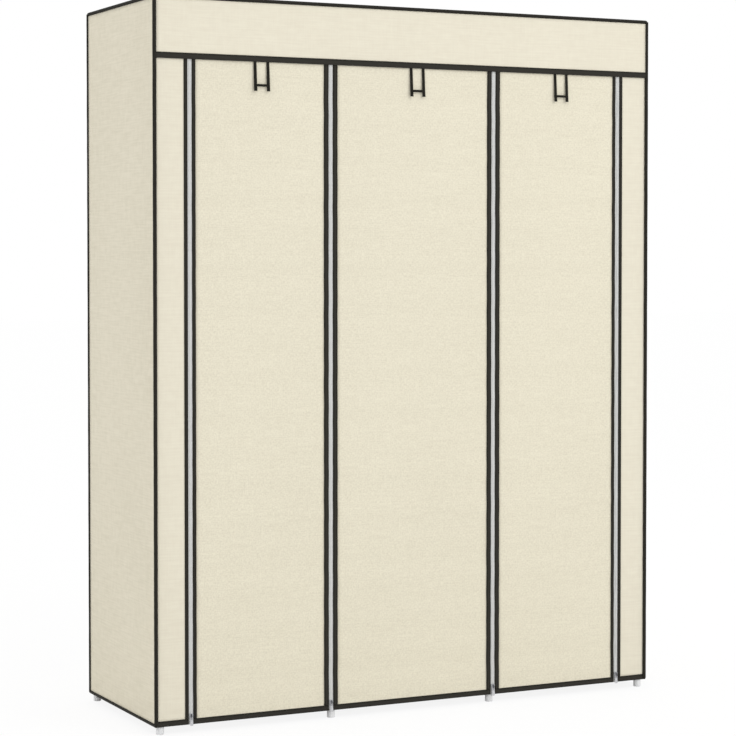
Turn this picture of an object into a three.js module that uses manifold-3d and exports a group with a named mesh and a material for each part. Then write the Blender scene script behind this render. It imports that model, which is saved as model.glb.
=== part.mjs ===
// Portable fabric wardrobe with three roll-up doors: a steel tube frame inside a sewn cloth cover.
// Millimetres, +Z up. The doors face -Y, +X is to the right, and the feet stand on z = 0.
import * as THREE from 'three';
import { mergeVertices } from 'three/addons/utils/BufferGeometryUtils.js';
import Module from 'manifold-3d';

const wasm = await Module();
wasm.setup();

// Whole wardrobe, pipings included
const cover_width = 1300;
const cover_depth = 450;
const overall_height = 1650;
const floor_clearance = 18;

// Cloth and its edges
const gap = 0.3;
const cloth_thickness = 1;
const piping_radius = 3.8;
const piping_proud = 2.6;
const outer_binding_width = 8.5;
const inner_binding_width = 11.7;
const binding_thickness = 2.4;
const hem_height = 12.8;
const side_hem_height = 7.4;
const valance_drop = 141;
const valance_hem_height = 13.5;

// How the front is divided: outer zip from the side, then zip centre to zip centre
const front_strip_width = 87.4;
const outer_door_width = 348;

// Zips
const zip_width = 10.8;
const coil_width = 4;
const slider_width = 9.6;
const slider_height = 14;
const slider_plate = 1.2;
const slider_rise = 18;
const bridge_width = 2.4;
const bridge_thickness = 1;
const bridge_leg = 1.6;
const bridge_window = 4.8;
const pull_length = 24;
const pull_width = 6.4;
const pull_thickness = 1.2;
const pull_bar = 1.6;

// Ribbon ties under the valance, one over each door
const ribbon_width = 6.4;
const ribbon_thickness = 1.2;
const ribbon_spacing = 32;
const tie_length = 67.5;
const tie_bar_drop = 53.7;
const tie_bar_height = 5.1;
const tie_offsets = { left: 0, centre: 8.5, right: 11 };

// Frame
const tube_diameter = 13;
const tube_wall = 0.6;
const connector_diameter = 18;
const socket_length = 30;
const connector_grip = 25;
const foot_base = 3;
const bottom_rail_height = 48;
const cloth_sleeve = 1.2;
const frame_play = 4.5;
const rod_saddle_length = 30;
const shelf_height_shares = [0.25, 0.5, 0.75];

// Counts of sides on round work
const tube_sides = 12;
const piping_sides = 12;
const pull_end_steps = 8;

// Centre lines of the pipings, and where the cloth between them ends
const piping_x = cover_width / 2 - piping_radius;
const piping_y = cover_depth / 2 - piping_radius;
const piping_z = overall_height - piping_radius;
const edge_x = piping_x - piping_radius - gap;
const edge_y = piping_y - piping_radius - gap;
const edge_z = piping_z - piping_radius - gap;

// Outer faces of the cloth
const cloth_x = cover_width / 2 - piping_proud;
const cloth_y = cover_depth / 2 - piping_proud;
const cloth_z = overall_height - piping_proud;

// Layers of the front, as distances forward of the middle
const binding_front = cloth_y - cloth_thickness - gap;
const binding_back = binding_front - binding_thickness;
const door_cloth_back = binding_back + gap;
const door_cloth_front = door_cloth_back + cloth_thickness;
const coil_height = binding_front - door_cloth_front;
const hem_top = floor_clearance + hem_height;
const valance_bottom = overall_height - valance_drop;

// Zips and doors across the front
const outer_zip_x = cover_width / 2 - front_strip_width;
const inner_zip_x = outer_zip_x - outer_door_width;
const zip_places = [-outer_zip_x, -inner_zip_x, inner_zip_x, outer_zip_x];
const outer_door_x = (outer_zip_x + inner_zip_x) / 2;
const outer_door = { width: outer_door_width - zip_width };
const centre_door = { width: 2 * inner_zip_x - zip_width };
const doors = {
  left: { x: -outer_door_x, bindings: [outer_binding_width, inner_binding_width], ...outer_door },
  centre: { x: 0, bindings: [inner_binding_width, inner_binding_width], ...centre_door },
  right: { x: outer_door_x, bindings: [inner_binding_width, outer_binding_width], ...outer_door },
};

// Frame lines: the roof lies on the top connectors, and the inner posts stand just inside the inner zips
const bay_names = ['left', 'centre', 'right'];
const tube_radius = tube_diameter / 2;
const bore_radius = tube_radius - tube_wall;
const connector_radius = connector_diameter / 2;
const socket_radius = tube_radius + gap;
const tube_start = tube_radius + 2 * gap;
const post_x = cloth_x - cloth_thickness - frame_play - connector_radius;
const inner_post_x = inner_zip_x - frame_play;
const hanging_bay = post_x - inner_post_x;
const front_post_y = -(binding_back - gap - connector_radius);
const back_post_y = cloth_y - cloth_thickness - gap - connector_radius;
const bottom_rail_z = bottom_rail_height;
const top_rail_z = cloth_z - cloth_thickness - gap - connector_radius;
const post_places = [-post_x, -inner_post_x, inner_post_x, post_x];
const frame_height = top_rail_z - bottom_rail_z;
const shelf_places = shelf_height_shares.map((share) => bottom_rail_z + share * frame_height);

// Zip slider and pull, measured forward of the tape
const slider_front = coil_height + gap + slider_plate;
const bridge_clear = Math.hypot(pull_bar / 2, pull_thickness / 2) + gap;
const bridge_front = slider_front + 2 * bridge_clear + bridge_thickness;
const bridge_half = bridge_window / 2 + bridge_leg;
const pivot_forward = slider_front + bridge_clear;
const eye_reach = Math.hypot(bridge_half, bridge_clear + bridge_thickness) + gap;
const slider_z = floor_clearance + slider_rise;
const pulls_stand_out = Math.max(door_cloth_front + bridge_front - cover_depth / 2, 0);

const materials = {
  cover_cloth: { color: 0xe9e3cf, roughness: 0.9, metalness: 0 },
  black_binding: { color: 0x33302a, roughness: 0.75, metalness: 0 },
  zip_tape: { color: 0xc9c9c9, roughness: 0.7, metalness: 0 },
  zip_metal: { color: 0x9fa1a3, roughness: 0.35, metalness: 1 },
  grey_tube: { color: 0xd0d0ce, roughness: 0.45, metalness: 0.3 },
  shelf_cloth: { color: 0xddd6c2, roughness: 0.9, metalness: 0 },
};

// A named mesh with its own material, added to a group.
function add(group, name, finish, geometry) {
  const mesh = new THREE.Mesh(geometry, new THREE.MeshStandardMaterial(materials[finish]));
  mesh.name = name;
  group.add(mesh);
  return mesh;
}

// A group added to another at a place.
function groupAt(parent, x, y, z) {
  const group = new THREE.Group();
  group.position.set(x, y, z);
  parent.add(group);
  return group;
}

// A box between two opposite corners.
function block(low, high) {
  const corner = new THREE.Vector3(...low);
  const size = new THREE.Vector3(...high).sub(corner);
  const box = new THREE.BoxGeometry(size.x, size.y, size.z);
  return box.translate(...corner.addScaledVector(size, 1 / 2).toArray());
}

// A solid cylinder from one point to another.
function cylinder(radius, from, to, sides = tube_sides) {
  const start = new THREE.Vector3(...from);
  const along = new THREE.Vector3(...to).sub(start);
  const shape = new THREE.CylinderGeometry(radius, radius, along.length(), sides);
  const up = new THREE.Vector3(0, 1, 0);
  const turn = new THREE.Quaternion().setFromUnitVectors(up, along.clone().normalize());
  return shape.applyQuaternion(turn).translate(...start.addScaledVector(along, 1 / 2).toArray());
}

// A round ball at a point.
function ball(radius, centre, sides) {
  return new THREE.SphereGeometry(radius, sides, sides / 2).rotateX(Math.PI / 2).translate(...centre);
}

// A three.js geometry as a solid for joining and cutting.
function solidOf(geometry) {
  const bare = geometry.clone();
  bare.deleteAttribute('normal');
  bare.deleteAttribute('uv');
  const merged = mergeVertices(bare);
  const vertProperties = merged.getAttribute('position').array;
  const triVerts = Uint32Array.from(merged.index.array);
  return new wasm.Manifold(new wasm.Mesh({ numProp: 3, vertProperties, triVerts }));
}

// All of the given shapes joined, less the ones that are cut away.
function fuse(shapes, cuts = []) {
  const joined = shapes.map(solidOf).reduce((whole, next) => whole.add(next));
  const mesh = cuts.map(solidOf).reduce((whole, next) => whole.subtract(next), joined).getMesh();
  const geometry = new THREE.BufferGeometry();
  geometry.setAttribute('position', new THREE.Float32BufferAttribute(mesh.vertProperties, mesh.numProp));
  geometry.setIndex(Array.from(mesh.triVerts));
  geometry.computeVertexNormals();
  return geometry;
}

// Black pipings and bindings of the cover, sewn into one network round the cloth panels.
function coverPiping() {
  const pipe = (from, to) => cylinder(piping_radius, from, to, piping_sides);
  const valance_face = cloth_y - cloth_thickness;
  const side_face = cloth_x - cloth_thickness;
  const shapes = [];
  for (const side of [-1, 1]) {
    const x = side * piping_x;
    for (const y of [-piping_y, piping_y]) {
      shapes.push(pipe([x, y, floor_clearance], [x, y, piping_z]));
      shapes.push(ball(piping_radius, [x, y, piping_z], piping_sides));
    }
    shapes.push(pipe([x, -piping_y, piping_z], [x, piping_y, piping_z]));
    shapes.push(pipe([-piping_x, side * piping_y, piping_z], [piping_x, side * piping_y, piping_z]));

    // foot of the side panel
    const side_left = Math.min(side * side_face, side * (side_face + binding_thickness));
    const side_low = [side_left, -piping_y, floor_clearance];
    const side_high = [side_left + binding_thickness, piping_y, floor_clearance + side_hem_height];
    shapes.push(block(side_low, side_high));

    // foot and zip edge of the front strip
    const zip_edge = side * (outer_zip_x + zip_width / 2);
    const cloth_edge = side * (outer_zip_x + zip_width / 2 + outer_binding_width);
    const strip_left = Math.min(zip_edge, x);
    const strip_right = Math.max(zip_edge, x);
    shapes.push(block([strip_left, -binding_front, floor_clearance], [strip_right, -binding_back, hem_top]));
    const tape_left = Math.min(zip_edge, cloth_edge);
    const tape_right = Math.max(zip_edge, cloth_edge);
    shapes.push(block([tape_left, -binding_front, floor_clearance], [tape_right, -binding_back, piping_z]));
  }

  // foot of the back panel, and hem of the valance
  const back_face = valance_face + binding_thickness;
  shapes.push(block([-piping_x, valance_face, floor_clearance], [piping_x, back_face, hem_top]));
  const valance_hem_top = valance_bottom + valance_hem_height;
  shapes.push(block([-piping_x, -back_face, valance_bottom], [piping_x, -valance_face, valance_hem_top]));
  return fuse(shapes);
}

// The cloth panels of the cover that stay put.
function addCover(parent) {
  const inner_x = cloth_x - cloth_thickness;
  const inner_y = cloth_y - cloth_thickness;
  const inner_z = cloth_z - cloth_thickness;
  add(parent, 'roof_panel', 'cover_cloth', block([-edge_x, -edge_y, inner_z], [edge_x, edge_y, cloth_z]));

  const back_low = [-edge_x, inner_y, hem_top + gap];
  add(parent, 'back_panel', 'cover_cloth', block(back_low, [edge_x, cloth_y, edge_z]));

  const side_bottom = floor_clearance + side_hem_height + gap;
  const left = block([-cloth_x, -edge_y, side_bottom], [-inner_x, edge_y, edge_z]);
  add(parent, 'left_side_panel', 'cover_cloth', left);
  const right = block([inner_x, -edge_y, side_bottom], [cloth_x, edge_y, edge_z]);
  add(parent, 'right_side_panel', 'cover_cloth', right);

  const valance_low = [-edge_x, -cloth_y, valance_bottom + valance_hem_height + gap];
  add(parent, 'valance', 'cover_cloth', block(valance_low, [edge_x, -inner_y, edge_z]));

  const strip_edge = outer_zip_x + zip_width / 2 + outer_binding_width + gap;
  const strip_low = [strip_edge, -door_cloth_front, hem_top + gap];
  const strip = block(strip_low, [edge_x, -door_cloth_back, edge_z]);
  add(parent, 'right_front_strip', 'cover_cloth', strip);
  const mirrored = block([-edge_x, ...strip_low.slice(1)], [-strip_edge, -door_cloth_back, edge_z]);
  add(parent, 'left_front_strip', 'cover_cloth', mirrored);
  add(parent, 'cover_piping', 'black_binding', coverPiping());
}

// One roll-up door: cloth, the binding on its sides and top, and the hem at its foot.
function addDoor(parent, name, door) {
  const group = groupAt(parent, door.x, 0, 0);
  const half = door.width / 2;
  const [left_binding, right_binding] = door.bindings;
  const cloth_left = -half + left_binding + gap;
  const cloth_right = half - right_binding - gap;
  const cloth_low = [cloth_left, -door_cloth_front, hem_top + gap];
  const cloth_high = [cloth_right, -door_cloth_back, edge_z - outer_binding_width - gap];
  add(group, `${name}_door_panel`, 'cover_cloth', block(cloth_low, cloth_high));

  const low = [-half, -binding_front, hem_top + gap];
  const high = [half, -binding_back, edge_z];
  const arch = [
    block(low, [-half + left_binding, -binding_back, edge_z]),
    block([half - right_binding, ...low.slice(1)], high),
    block([-half, -binding_front, edge_z - outer_binding_width], high),
  ];
  add(group, `${name}_door_binding`, 'black_binding', fuse(arch));

  const hem = block([-half, -binding_front, floor_clearance], [half, -binding_back, hem_top]);
  add(group, `${name}_door_hem`, 'black_binding', hem);
}

// Zip tapes with the closed coil standing out along the middle.
function zipTape() {
  const half = zip_width / 2 - gap;
  const coil_half = coil_width / 2;
  const section = new THREE.Shape([
    new THREE.Vector2(-half, cloth_thickness),
    new THREE.Vector2(-half, 0),
    new THREE.Vector2(-coil_half, 0),
    new THREE.Vector2(-coil_half, -coil_height),
    new THREE.Vector2(coil_half, -coil_height),
    new THREE.Vector2(coil_half, 0),
    new THREE.Vector2(half, 0),
    new THREE.Vector2(half, cloth_thickness),
  ]);
  return new THREE.ExtrudeGeometry(section, { depth: edge_z - floor_clearance, bevelEnabled: false });
}

// Slider body that rides over the coil, with the bridge that holds its pull.
function zipSlider() {
  const half = slider_width / 2;
  const top = slider_height / 2;
  const channel = coil_width / 2 + gap;
  const roof = coil_height + gap;
  const body = block([-half, -slider_front, -top], [half, -gap, top]);
  const cheek = bridge_width / 2;
  const bridge = block([-cheek, -bridge_front, -bridge_half], [cheek, -roof, bridge_half]);
  const window_low = [-bridge_width, -bridge_front + bridge_thickness, -bridge_window / 2];
  const window = block(window_low, [bridge_width, -slider_front, bridge_window / 2]);
  const coil_channel = block([-channel, -roof, -slider_height], [channel, 0, slider_height]);
  return fuse([fuse([bridge], [window]), body], [coil_channel]);
}

// Flat pull with a round end and the eye that goes round the slider's bridge.
function zipPull() {
  const half = pull_width / 2;
  const eye_half = bridge_width / 2 + gap;
  const foot = pull_bar / 2 - pull_length + half;
  const outline = new THREE.Shape();
  outline.moveTo(half, pull_bar / 2);
  outline.lineTo(-half, pull_bar / 2);
  outline.lineTo(-half, foot);
  outline.absarc(0, foot, half, Math.PI, 2 * Math.PI, false);
  const eye = new THREE.Path([
    new THREE.Vector2(-eye_half, -pull_bar / 2),
    new THREE.Vector2(eye_half, -pull_bar / 2),
    new THREE.Vector2(eye_half, -eye_reach),
    new THREE.Vector2(-eye_half, -eye_reach),
  ]);
  outline.holes.push(eye);
  const settings = { depth: pull_thickness, bevelEnabled: false, curveSegments: pull_end_steps };
  const plate = new THREE.ExtrudeGeometry(outline, settings).rotateX(Math.PI / 2);
  return plate.translate(0, pull_thickness / 2, 0);
}

// Two ribbons and the cross bar sewn between them.
function rollTie() {
  const back = ribbon_thickness / 2;
  const strand = (x) => {
    const right = x + ribbon_width / 2;
    return block([right - ribbon_width, -back, -tie_length], [right, back, 0]);
  };
  const bar_low = [-ribbon_spacing / 2, -back, -tie_bar_drop - tie_bar_height];
  const bar = block(bar_low, [ribbon_spacing / 2, back, -tie_bar_drop]);
  return fuse([strand(-ribbon_spacing / 2), strand(ribbon_spacing / 2), bar]);
}

// A hollow tube from one point to another, open at both ends.
function hollowTube(from, to) {
  const start = new THREE.Vector3(...from);
  const reach = new THREE.Vector3(...to).sub(start).setLength(tube_diameter);
  const bore_from = start.clone().sub(reach).toArray();
  const bore_to = new THREE.Vector3(...to).add(reach).toArray();
  return fuse([cylinder(tube_radius, from, to)], [cylinder(bore_radius, bore_from, bore_to)]);
}

// One upright with its foot and connectors. Its own axis is x = y = 0.
// rail_sides and shelf_side are X directions, inward is the Y direction of the depth tubes.
function post(rail_sides, inward, shelf_side) {
  const shapes = [
    cylinder(connector_radius, [0, 0, 0], [0, 0, bottom_rail_z + connector_grip]),
    cylinder(tube_radius, [0, 0, foot_base], [0, 0, top_rail_z]),
    cylinder(connector_radius, [0, 0, top_rail_z - connector_grip], [0, 0, top_rail_z]),
    ball(connector_radius, [0, 0, top_rail_z], tube_sides),
  ];
  const cuts = [cylinder(bore_radius, [0, 0, foot_base], [0, 0, top_rail_z])];
  for (const z of [bottom_rail_z, top_rail_z]) {
    const ways = [[0, inward], ...rail_sides.map((side) => [side, 0])];
    for (const [x, y] of ways) {
      const mouth = [x * socket_length, y * socket_length, z];
      const beyond = [x * (socket_length + tube_radius), y * (socket_length + tube_radius), z];
      shapes.push(cylinder(connector_radius, [0, 0, z], mouth));
      cuts.push(cylinder(socket_radius, [0, 0, z], beyond));
    }
  }
  for (const z of shelf_side ? shelf_places : []) {
    const sleeve_half = connector_grip / 2 + connector_radius / 2;
    shapes.push(cylinder(connector_radius, [0, 0, z - sleeve_half], [0, 0, z + sleeve_half]));
    shapes.push(cylinder(connector_radius, [0, 0, z], [shelf_side * socket_length, 0, z]));
    const floor_of_socket = [shelf_side * socket_radius, 0, z];
    cuts.push(cylinder(socket_radius, floor_of_socket, [shelf_side * (socket_length + tube_radius), 0, z]));
  }
  return fuse(shapes, cuts);
}

// Cloth that lies over a front and a back tube, with a sleeve sewn round each.
// Between the posts' sockets it is wider, and reaches nearly to the lines of the posts.
function slungCloth(from_x, to_x, sleeve_bore, sleeve_radius) {
  const lines = [front_post_y, back_post_y];
  const underside = sleeve_radius - cloth_sleeve;
  const wing = socket_length - connector_radius;
  const notch = socket_length + gap;
  const shapes = lines.map((y) => cylinder(sleeve_radius, [from_x, y, 0], [to_x, y, 0]));
  shapes.push(block([from_x, front_post_y, underside], [to_x, back_post_y, sleeve_radius]));
  const wide_low = [from_x - wing, front_post_y + notch, underside];
  shapes.push(block(wide_low, [to_x + wing, back_post_y - notch, sleeve_radius]));
  const over = tube_diameter;
  const cuts = lines.map((y) => cylinder(sleeve_bore, [from_x - over, y, 0], [to_x + over, y, 0]));
  return { shapes, cuts };
}

// Hanging rod with a saddle at each end that hugs a top depth tube.
function hangingRod() {
  const ends = [0, hanging_bay];
  const half = rod_saddle_length / 2;
  const shapes = ends.map((x) => cylinder(connector_radius, [x, -half, 0], [x, half, 0]));
  shapes.push(cylinder(tube_radius, [0, 0, 0], [hanging_bay, 0, 0]));
  const over = rod_saddle_length;
  const cuts = ends.map((x) => cylinder(socket_radius, [x, -over, 0], [x, over, 0]));
  cuts.push(cylinder(bore_radius, [0, 0, 0], [hanging_bay, 0, 0]));
  return fuse(shapes, cuts);
}

// Steel frame: posts, rails, depth tubes and hanging rods.
function addFrame(parent) {
  post_places.forEach((x, i) => {
    const last = post_places.length - 1;
    const rail_sides = [-1, 1].filter((side) => (side < 0 ? i > 0 : i < last));
    const inner = i > 0 && i < last;
    const shelf_side = inner ? -Math.sign(x) : 0;
    const front = add(parent, `front_post_${i + 1}`, 'grey_tube', post(rail_sides, 1, shelf_side));
    front.position.set(x, front_post_y, 0);
    const back = add(parent, `back_post_${i + 1}`, 'grey_tube', post(rail_sides, -1, shelf_side));
    back.position.set(x, back_post_y, 0);
  });

  const rail_end = post_x - tube_start;
  const levels = { bottom: bottom_rail_z, top: top_rail_z };
  for (const [level, z] of Object.entries(levels)) {
    const lines = { front: front_post_y, back: back_post_y };
    for (const [line, y] of Object.entries(lines)) {
      const rail = hollowTube([-rail_end, 0, 0], [rail_end, 0, 0]);
      add(parent, `${level}_${line}_rail`, 'grey_tube', rail).position.set(0, y, z);
    }
    post_places.forEach((x, i) => {
      const tube = hollowTube([0, front_post_y + tube_start, 0], [0, back_post_y - tube_start, 0]);
      add(parent, `${level}_depth_tube_${i + 1}`, 'grey_tube', tube).position.set(x, 0, z);
    });
  }
  add(parent, 'left_hanging_rod', 'grey_tube', hangingRod()).position.set(-post_x, 0, top_rail_z);
  add(parent, 'right_hanging_rod', 'grey_tube', hangingRod()).position.set(inner_post_x, 0, top_rail_z);
}

// Cloth decks on the bottom rails, and the shelves of the centre bay on their own two tubes.
function addShelves(parent) {
  bay_names.forEach((bay, i) => {
    const from_x = post_places[i] + socket_length + gap;
    const to_x = post_places[i + 1] - socket_length - gap;
    const deck = slungCloth(from_x, to_x, socket_radius, socket_radius + cloth_sleeve);
    add(parent, `${bay}_deck`, 'shelf_cloth', fuse(deck.shapes, deck.cuts)).position.z = bottom_rail_z;
  });

  const cloth_end = inner_post_x - socket_length - gap;
  const tube_end = inner_post_x - tube_start;
  shelf_places.forEach((z, i) => {
    const cloth = slungCloth(-cloth_end, cloth_end, bore_radius, tube_radius + cloth_sleeve);
    const lines = [front_post_y, back_post_y];
    const tubes = lines.map((y) => cylinder(tube_radius, [-tube_end, y, 0], [tube_end, y, 0]));
    const bores = lines.map((y) => cylinder(bore_radius, [-post_x, y, 0], [post_x, y, 0]));
    const shelf = fuse([...cloth.shapes, ...tubes], bores);
    add(parent, `centre_shelf_${i + 1}`, 'shelf_cloth', shelf).position.z = z;
  });
}

// Zips with their sliders and pulls, from left to right.
function addZips(parent) {
  zip_places.forEach((x, i) => {
    const zip = groupAt(parent, x, -door_cloth_front, 0);
    add(zip, `zip_${i + 1}`, 'zip_tape', zipTape()).position.z = floor_clearance;
    const slider = groupAt(zip, 0, 0, slider_z);
    add(slider, `zip_slider_${i + 1}`, 'zip_metal', zipSlider());
    add(slider, `zip_pull_${i + 1}`, 'zip_metal', zipPull()).position.y = -pivot_forward;
  });
}

// The origin lies under the middle of everything, the pulls included.
const wardrobe = new THREE.Group();
const assembly = groupAt(wardrobe, 0, pulls_stand_out / 2, 0);
addCover(assembly);
addFrame(assembly);
addShelves(assembly);
addZips(assembly);
for (const name of bay_names) {
  addDoor(assembly, name, doors[name]);
  const tie = add(assembly, `${name}_roll_tie`, 'black_binding', rollTie());
  const tie_y = -cloth_y + cloth_thickness / 2;
  tie.position.set(doors[name].x + tie_offsets[name], tie_y, valance_bottom - gap);
}

export default wardrobe;
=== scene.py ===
# A portable fabric wardrobe: a steel tube frame under a cream cloth cover with three zipped roll-up doors.
# Metres, +Z up, doors facing -Y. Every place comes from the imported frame.
import math

import bmesh
import bpy
import numpy as np
from mathutils import Matrix, Vector


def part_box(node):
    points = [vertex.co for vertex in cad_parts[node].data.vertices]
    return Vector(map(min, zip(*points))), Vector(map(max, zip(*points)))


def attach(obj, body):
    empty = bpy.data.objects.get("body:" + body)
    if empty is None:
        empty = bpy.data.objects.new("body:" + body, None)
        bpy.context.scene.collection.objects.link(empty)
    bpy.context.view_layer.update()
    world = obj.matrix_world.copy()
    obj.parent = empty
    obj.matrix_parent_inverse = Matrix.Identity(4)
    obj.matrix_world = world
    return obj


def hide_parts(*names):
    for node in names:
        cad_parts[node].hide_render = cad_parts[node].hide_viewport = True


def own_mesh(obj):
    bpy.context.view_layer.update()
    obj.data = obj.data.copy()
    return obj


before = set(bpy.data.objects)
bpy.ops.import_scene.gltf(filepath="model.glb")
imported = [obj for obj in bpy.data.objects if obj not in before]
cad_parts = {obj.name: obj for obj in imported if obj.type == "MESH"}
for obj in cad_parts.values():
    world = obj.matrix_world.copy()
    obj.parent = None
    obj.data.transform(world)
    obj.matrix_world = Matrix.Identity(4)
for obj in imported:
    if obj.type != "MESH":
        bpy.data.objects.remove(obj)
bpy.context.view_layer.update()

# The camera
# It stands about five metres off the left front corner, level with the middle of the doors.
# The picture is shifted down a little, so that the upright edges hardly lean.
camera_place = (-2.3992, -4.8469, 1.0717)
camera_yaw = math.radians(-26.232)
camera_pitch = math.radians(-1.763)
camera_lens = 108.62
camera_shift = -0.06

camera = bpy.data.objects.new("camera", bpy.data.cameras.new("camera"))
camera.data.lens = camera_lens
camera.data.shift_y = camera_shift
camera.location = camera_place
camera.rotation_euler = (math.pi / 2 + camera_pitch, 0, camera_yaw)
bpy.context.scene.collection.objects.link(camera)
bpy.context.scene.camera = camera
bpy.context.scene.view_settings.view_transform = "Standard"


# The studio
# A matt white floor that runs off into white, under an even sky and one large soft lamp from the right.
# To the camera the floor is lit almost to white, and it keeps a faint shadow round the feet.
class Strand:
    """A socket that is worked with like a number: each sum or product adds its Math node."""

    def __init__(self, tree, socket=None):
        self.tree = tree
        self.socket = socket

    def node(self, kind, settings=None, sockets=None, output=0):
        """Adds a node: its settings first, then the values or links of its sockets."""
        made = self.tree.nodes.new(kind)
        for name, value in (settings or {}).items():
            setattr(made, name, value)
        for name, value in (sockets or {}).items():
            if isinstance(value, Strand):
                self.tree.links.new(value.socket, made.inputs[name])
            else:
                made.inputs[name].default_value = value
        return Strand(self.tree, made.outputs[output]) if made.outputs else None

    def math(self, operation, *values):
        """A Math node on numbers or strands."""
        return self.node("ShaderNodeMath", {"operation": operation}, dict(enumerate(values)))

    def __add__(self, other):
        return self.math("ADD", self, other)

    __radd__ = __add__

    def __sub__(self, other):
        return self.math("SUBTRACT", self, other)

    def __rsub__(self, other):
        return self.math("SUBTRACT", other, self)

    def __mul__(self, other):
        return self.math("MULTIPLY", self, other)

    __rmul__ = __mul__

    def __truediv__(self, other):
        return self.math("DIVIDE", self, other)

    def between(self, low, high):
        """0 up to low, 1 from high on, and an even slope from one to the other."""
        return self.node("ShaderNodeMapRange", {}, {0: self, 1: low, 2: high})

    def spread(self, low, high):
        """Runs evenly from low, where the strand is 0, to high, where it is 1."""
        return self * (high - low) + low

    def tint(self, start, end):
        """The colour start where the strand is 0 and end where it is 1."""
        return self.node("ShaderNodeMix", {"data_type": "RGBA"}, {0: self, 6: start, 7: end}, 2)

    def bump(self, strength, distance):
        """The normal of a surface on which the strand is the height."""
        sockets = {"Strength": strength, "Distance": distance, "Height": self}
        return self.node("ShaderNodeBump", {}, sockets)


def paint(red, green, blue):
    """A colour from 0 to 255, as it shows on a screen, in the linear form that shaders take."""
    shares = np.array([red, green, blue]) / 255
    linear = np.where(shares > 0.04045, ((shares + 0.055) / 1.055) ** 2.4, shares / 12.92)
    return (*linear.tolist(), 1.0)


def seen_rays(start):
    """1 for the rays that show a surface to the camera, in gloss or through glass, and 0 for its light."""
    kinds = ("Is Camera Ray", "Is Glossy Ray", "Is Transmission Ray")
    camera_rays, gloss_rays, glass_rays = [start.node("ShaderNodeLightPath", output=kind) for kind in kinds]
    return start.math("MAXIMUM", camera_rays, start.math("MAXIMUM", gloss_rays, glass_rays))


def empty_tree(owner):
    """The start of an owner's node tree, cleared of the nodes that Blender puts there."""
    owner.use_nodes = True
    owner.node_tree.nodes.clear()
    return Strand(owner.node_tree)


white = paint(255, 255, 255)
floor_paint = paint(225, 225, 225)
floor_glow = 0.84
floor_white = 1.045
floor_size = 60
sky_strength = 0.98
lamp_place = Vector((2.5, -4.4, 4.5))
lamp_aim = Vector((0, 0, 1.0))
lamp_size = 3.0
lamp_power = 60

floor_finish = bpy.data.materials.new("floor_white")
floor_start = empty_tree(floor_finish)
matt = floor_start.node("ShaderNodeBsdfDiffuse", {}, {"Color": floor_paint})
glow = floor_start.node("ShaderNodeEmission", {}, {"Color": white, "Strength": floor_white})
glow_share = seen_rays(floor_start) * floor_glow
floor_look = floor_start.node("ShaderNodeMixShader", {}, {0: glow_share, 1: matt, 2: glow})
floor_start.node("ShaderNodeOutputMaterial", {}, {"Surface": floor_look})

floor_half = floor_size / 2
floor_mesh = bpy.data.meshes.new("floor")
floor_corners = [(x * floor_half, y * floor_half, 0) for x, y in ((-1, -1), (1, -1), (1, 1), (-1, 1))]
floor_mesh.from_pydata(floor_corners, [], [(0, 1, 2, 3)])
floor_mesh.materials.append(floor_finish)
floor = bpy.data.objects.new("floor", floor_mesh)
bpy.context.scene.collection.objects.link(floor)

sky = bpy.data.worlds.new("sky")
bpy.context.scene.world = sky
sky_start = empty_tree(sky)
sky_glow = seen_rays(sky_start) * (1 - sky_strength) + sky_strength
sky_look = sky_start.node("ShaderNodeBackground", {}, {"Color": white, "Strength": sky_glow})
sky_start.node("ShaderNodeOutputWorld", {}, {"Surface": sky_look})

lamp = bpy.data.objects.new("lamp", bpy.data.lights.new("lamp", "AREA"))
lamp.data.shape = "DISK"
lamp.data.size = lamp_size
lamp.data.energy = lamp_power
lamp.location = lamp_place
lamp.rotation_euler = (lamp_aim - lamp_place).to_track_quat("-Z", "Y").to_euler()
bpy.context.scene.collection.objects.link(lamp)


# The steel tubes
# Thirteen millimetre steel tube with a thin wall, powder coated light grey: four uprights along the front
# and four along the back, the long rails, the depth tubes and the hanging rods of the two outer bays.
def middle(node):
    """The centre of a CAD node's box."""
    low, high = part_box(node)
    return np.array((low + high) / 2)


def run_along(points, round_trip):
    """How far each point lies along the line through them, and the whole way round for a round trip."""
    line = np.vstack([points, points[:1]]) if round_trip else points
    return np.concatenate([[0], np.cumsum(np.linalg.norm(np.diff(line, axis=0), axis=1))])


def skin(name, grid, closed=False, looped=False, capped=False, from_edge=None):
    """A mesh over rows of points. Rows may be closed, and the last row may meet the first. The map called
    cut holds each place in metres, and from_edge holds a number for each column, on tape its distance from
    the tape's edge."""
    grid = np.asarray(grid, float)
    rows, columns = grid.shape[:2]
    row, column = np.meshgrid(np.arange(rows - 1 + looped), np.arange(columns - 1 + closed), indexing="ij")
    turns = ((0, 0), (0, 1), (1, 1), (1, 0))
    row_steps = np.stack([row.ravel() + ahead for ahead, _ in turns], axis=1)
    column_steps = np.stack([column.ravel() + aside for _, aside in turns], axis=1)
    faces = ((row_steps % rows) * columns + column_steps % columns).tolist()
    across = run_along(grid[0], closed)
    along = run_along(grid[:, 0], looped)
    cut = np.stack([across[column_steps], along[row_steps]], axis=-1).reshape(-1, 2)
    if capped:
        first_end = np.arange(columns)[::-1]
        last_end = np.arange(columns)
        faces += [first_end.tolist(), (last_end + (rows - 1) * columns).tolist()]
        for end, reached in ((first_end, along[0]), (last_end, along[-1])):
            cut = np.vstack([cut, np.stack([across[end], np.full(columns, reached)], axis=1)])
    mesh = bpy.data.meshes.new(name)
    mesh.from_pydata(grid.reshape(-1, 3).tolist(), [], faces)
    mesh.uv_layers.new(name="cut").uv.foreach_set("vector", cut.astype(np.float32).ravel())
    layer = mesh.attributes.new("from_edge", "FLOAT", "POINT")
    edges = np.zeros(columns) if from_edge is None else from_edge
    layer.data.foreach_set("value", np.tile(np.asarray(edges, np.float32), rows))
    return mesh


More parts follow.
